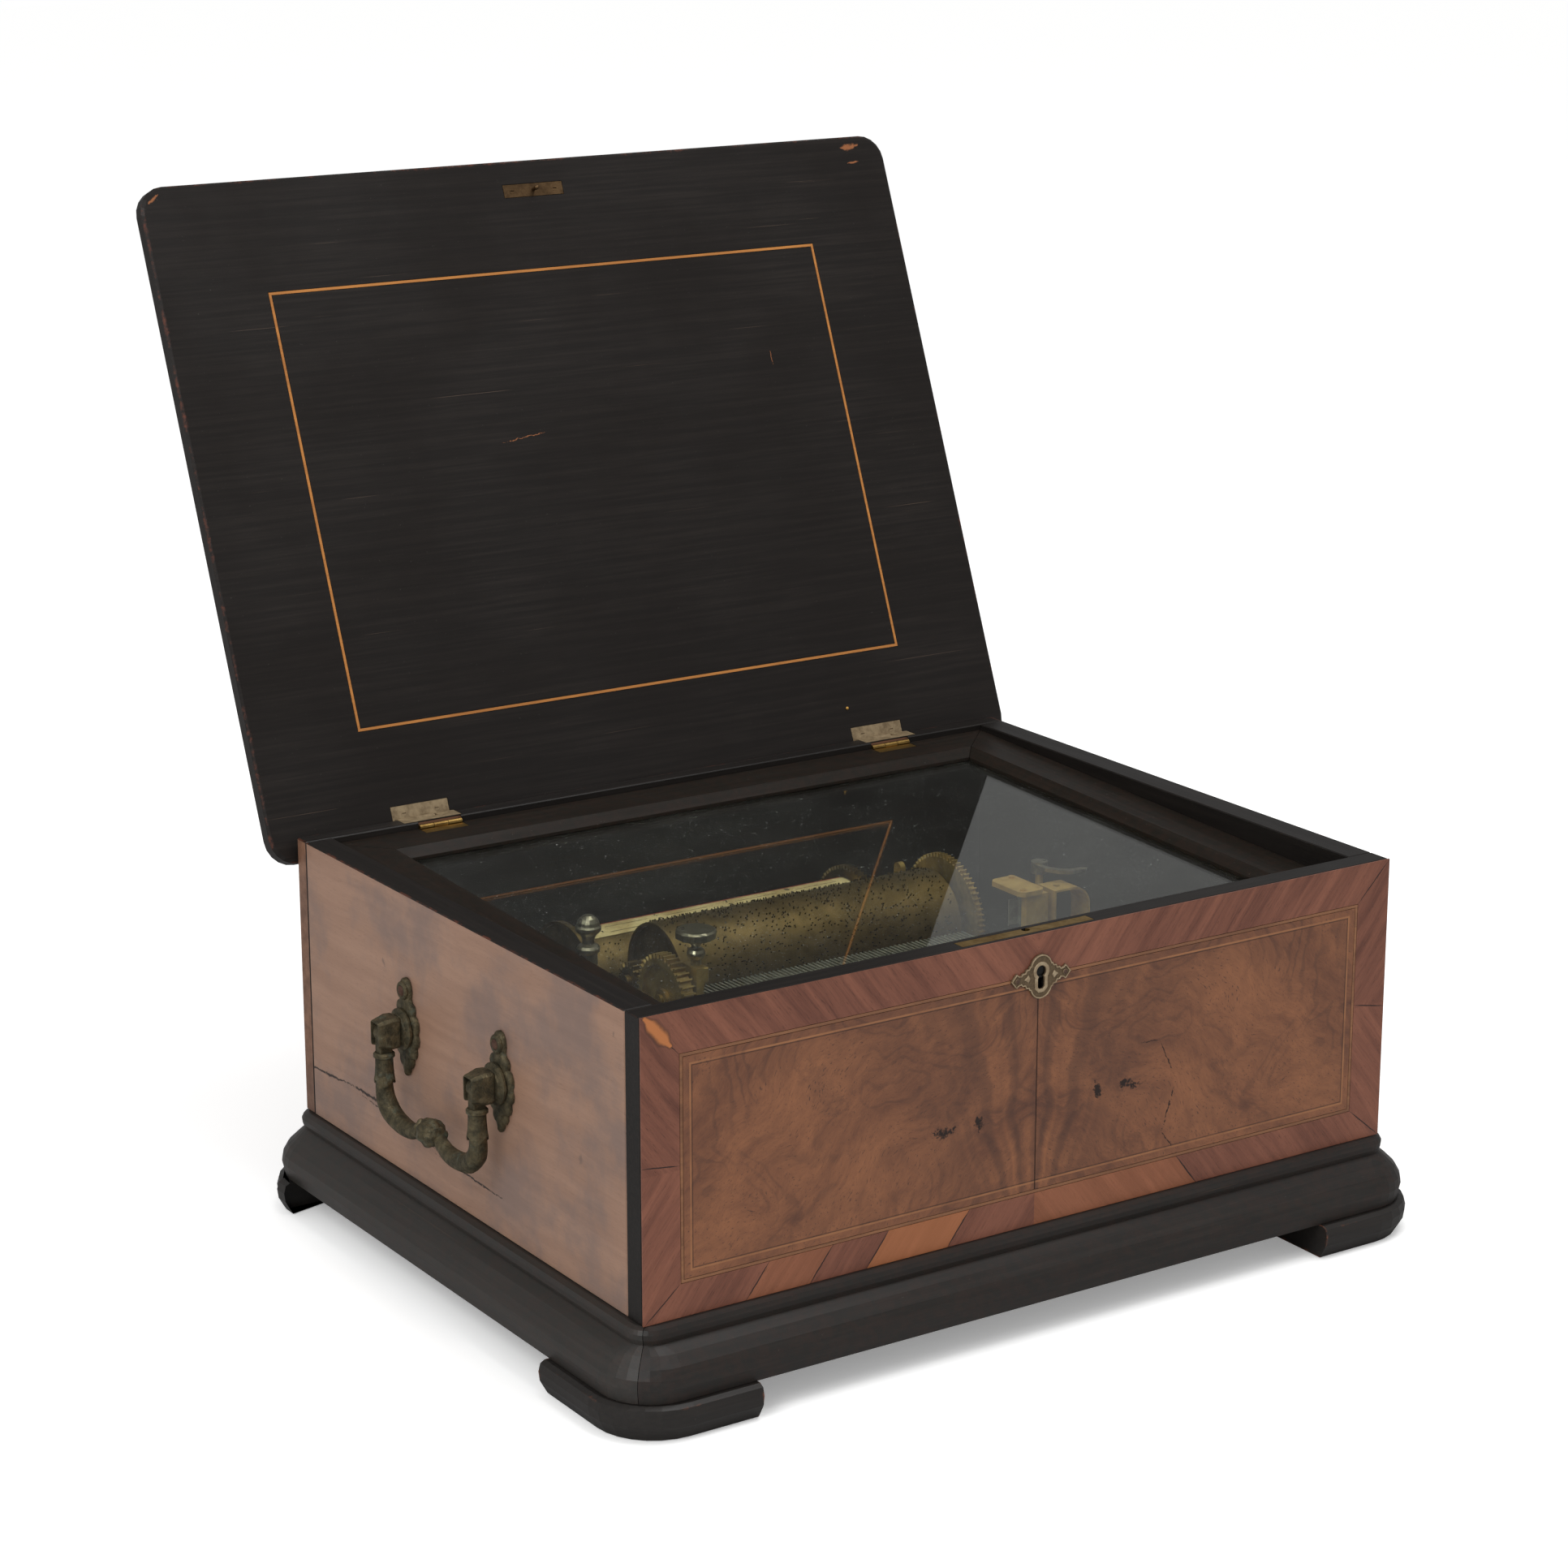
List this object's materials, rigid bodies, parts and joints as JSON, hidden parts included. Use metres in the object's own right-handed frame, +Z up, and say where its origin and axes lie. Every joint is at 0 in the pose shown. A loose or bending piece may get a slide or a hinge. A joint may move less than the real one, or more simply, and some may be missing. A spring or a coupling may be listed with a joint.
{
  "type": "musical box with interchangeable cylinders",
  "caption": "Veneered musical box with a propped-back lid, a glass inner lid, bail handles and a pinned cylinder and comb movement with a spare cylinder.",
  "frame": {"origin": "on the floor plane, under the middle of the whole part with its outer lid open", "axes": "+X to the right along the front, +Y to the back, +Z up"},
  "size_m": [0.549, 0.5683, 0.5845],
  "materials": {
    "back_board": "polished wood",
    "bail_left": "dark patinated bronze",
    "bail_right": "dark patinated bronze",
    "barrel": "dull cast or turned brass",
    "bedplate": "dull cast or turned brass",
    "bottom_board": "polished wood",
    "brake_lever": "worn nickel plate",
    "catch_plate": "worn nickel plate",
    "comb": "fine brushed steel",
    "cylinder": "dull cast or turned brass",
    "drive_wheel": "dull cast or turned brass",
    "escutcheon": "dull cast or turned brass",
    "fly_cover": "dull cast or turned brass",
    "foot_back_left": "polished wood",
    "foot_back_right": "polished wood",
    "foot_front_left": "polished wood",
    "foot_front_right": "polished wood",
    "front_board": "polished wood",
    "front_crossbanding": "polished wood",
    "front_stringing": "polished wood",
    "front_veneer_left": "polished wood",
    "front_veneer_right": "polished wood",
    "glass_hinge_case_leaf_left": "dull cast or turned brass",
    "glass_hinge_case_leaf_right": "dull cast or turned brass",
    "glass_hinge_frame_leaf_left": "dull cast or turned brass",
    "glass_hinge_frame_leaf_right": "dull cast or turned brass",
    "glass_pane": "clear plate glass",
    "glass_rail_back": "polished wood",
    "glass_rail_front": "polished wood",
    "glass_rail_left": "polished wood",
    "glass_rail_right": "polished wood",
    "governor_cap": "dull cast or turned brass",
    "governor_frame": "dull cast or turned brass",
    "great_wheel": "dull cast or turned brass",
    "handle_plate_left_back": "dark patinated bronze",
    "handle_plate_left_front": "dark patinated bronze",
    "handle_plate_right_back": "dark patinated bronze",
    "handle_plate_right_front": "dark patinated bronze",
    "intermediate_wheel": "dull cast or turned brass",
    "left_cock": "dull cast or turned brass",
    "left_side_board": "polished wood",
    "lid_hinge_case_leaf_left": "worn nickel plate",
    "lid_hinge_case_leaf_right": "worn nickel plate",
    "lid_hinge_lid_leaf_left": "worn nickel plate",
    "lid_hinge_lid_leaf_right": "worn nickel plate",
    "lid_panel": "polished wood",
    "lid_stringing": "polished wood",
    "lock": "dull cast or turned brass",
    "moulding_back": "polished wood",
    "moulding_front": "polished wood",
    "moulding_left": "polished wood",
    "moulding_right": "polished wood",
    "right_cock": "dull cast or turned brass",
    "right_side_board": "polished wood",
    "spare_cradle": "dull cast or turned brass",
    "spare_cylinder": "dull cast or turned brass",
    "thumbscrew": "worn nickel plate",
    "tune_strip": "cream paper",
    "winding_lever": "worn nickel plate",
    "worm_fly": "fine brushed steel"
  },
  "bodies": {
    "case": {"front_board": "front_board", "lock": "lock", "back_board": "back_board", "left_side_board": "left_side_board", "right_side_board": "right_side_board", "bottom_board": "bottom_board", "front_crossbanding": "front_crossbanding", "front_stringing": "front_stringing", "front_veneer_left": "front_veneer_left", "front_veneer_right": "front_veneer_right", "escutcheon": "escutcheon", "moulding_front": "moulding_front", "moulding_back": "moulding_back", "moulding_left": "moulding_left", "moulding_right": "moulding_right", "foot_front_right": "foot_front_right", "foot_back_left": "foot_back_left", "foot_back_right": "foot_back_right", "foot_front_left": "foot_front_left", "lid_hinge_case_leaf_left": "lid_hinge_case_leaf_left", "lid_hinge_case_leaf_right": "lid_hinge_case_leaf_right", "glass_hinge_case_leaf_left": "glass_hinge_case_leaf_left", "glass_hinge_case_leaf_right": "glass_hinge_case_leaf_right", "handle_plate_right_front": "handle_plate_right_front", "handle_plate_left_front": "handle_plate_left_front", "handle_plate_right_back": "handle_plate_right_back", "handle_plate_left_back": "handle_plate_left_back", "bedplate": "bedplate", "comb": "comb", "spare_cylinder": "spare_cylinder", "tune_strip": "tune_strip", "spare_cradle": "spare_cradle", "left_cock": "left_cock", "right_cock": "right_cock", "governor_frame": "governor_frame", "governor_cap": "governor_cap", "fly_cover": "fly_cover"},
    "lid": {"lid_stringing": "lid_stringing", "lid_panel": "lid_panel", "catch_plate": "catch_plate", "lid_hinge_lid_leaf_left": "lid_hinge_lid_leaf_left", "lid_hinge_lid_leaf_right": "lid_hinge_lid_leaf_right"},
    "glass_lid": {"glass_hinge_frame_leaf_left": "glass_hinge_frame_leaf_left", "glass_hinge_frame_leaf_right": "glass_hinge_frame_leaf_right", "glass_rail_back": "glass_rail_back", "glass_rail_front": "glass_rail_front", "glass_rail_left": "glass_rail_left", "glass_rail_right": "glass_rail_right", "glass_pane": "glass_pane"},
    "bail_left": {"bail_left": "bail_left"},
    "bail_right": {"bail_right": "bail_right"},
    "playing_cylinder": {"cylinder": "cylinder", "great_wheel": "great_wheel"},
    "drive_wheel": {"drive_wheel": "drive_wheel"},
    "barrel": {"barrel": "barrel"},
    "winding_lever": {"winding_lever": "winding_lever"},
    "thumbscrew": {"thumbscrew": "thumbscrew"},
    "intermediate_wheel": {"intermediate_wheel": "intermediate_wheel"},
    "worm_fly": {"worm_fly": "worm_fly"},
    "brake_lever": {"brake_lever": "brake_lever"}
  },
  "joints": [
    {"name": "lid_hinge", "type": "hinge", "parent": "case", "child": "lid", "pos_m": [0, 0.12347, 0.2213], "axis": [-1, 0, 0], "range_deg": [-111.87, 0]},
    {"name": "glass_lid_hinge", "type": "hinge", "parent": "case", "child": "glass_lid", "pos_m": [0, 0.1096, 0.2211], "axis": [-1, 0, 0], "range_deg": [0, 85]},
    {"name": "bail_left_swing", "type": "hinge", "parent": "case", "child": "bail_left", "pos_m": [-0.266, -0.06468, 0.147], "axis": [0, 1, 0], "range_deg": [0, 85]},
    {"name": "bail_right_swing", "type": "hinge", "parent": "case", "child": "bail_right", "pos_m": [0.266, -0.06468, 0.147], "axis": [0, -1, 0], "range_deg": [0, 85]},
    {"name": "cylinder_turn", "type": "hinge", "parent": "case", "child": "playing_cylinder", "pos_m": [0, -0.02868, 0.152], "axis": [1, 0, 0], "continuous": true},
    {"name": "drive_wheel_turn", "type": "hinge", "parent": "case", "child": "drive_wheel", "pos_m": [-0.109, -0.06368, 0.151], "axis": [1, 0, 0], "continuous": true},
    {"name": "barrel_turn", "type": "hinge", "parent": "case", "child": "barrel", "pos_m": [-0.109, -0.03658, 0.10614], "axis": [1, 0, 0], "continuous": true},
    {"name": "winding_lever_swing", "type": "hinge", "parent": "case", "child": "winding_lever", "pos_m": [-0.1433, -0.03658, 0.10614], "axis": [1, 0, 0], "range_deg": [-20, 35]},
    {"name": "thumbscrew_turn", "type": "hinge", "parent": "case", "child": "thumbscrew", "pos_m": [-0.1024, -0.07798, 0.173], "axis": [0, 0, 1], "range_deg": [0, 720]},
    {"name": "intermediate_turn", "type": "hinge", "parent": "case", "child": "intermediate_wheel", "pos_m": [0.1055, -0.05525, 0.11798], "axis": [1, 0, 0], "continuous": true},
    {"name": "fly_turn", "type": "hinge", "parent": "case", "child": "worm_fly", "pos_m": [0.126, -0.07768, 0.0745], "axis": [0, 0, 1], "continuous": true},
    {"name": "brake_lever_swing", "type": "hinge", "parent": "case", "child": "brake_lever", "pos_m": [0.15, -0.06368, 0.1832], "axis": [0, 0, 1], "range_deg": [-8, 12]}
  ],
  "couplings": [
    {"joint": "drive_wheel_turn", "follows": "cylinder_turn", "ratio": -0.4},
    {"joint": "barrel_turn", "follows": "cylinder_turn", "ratio": 0.37209},
    {"joint": "intermediate_turn", "follows": "cylinder_turn", "ratio": -7.2},
    {"joint": "fly_turn", "follows": "cylinder_turn", "ratio": 36}
  ]
}
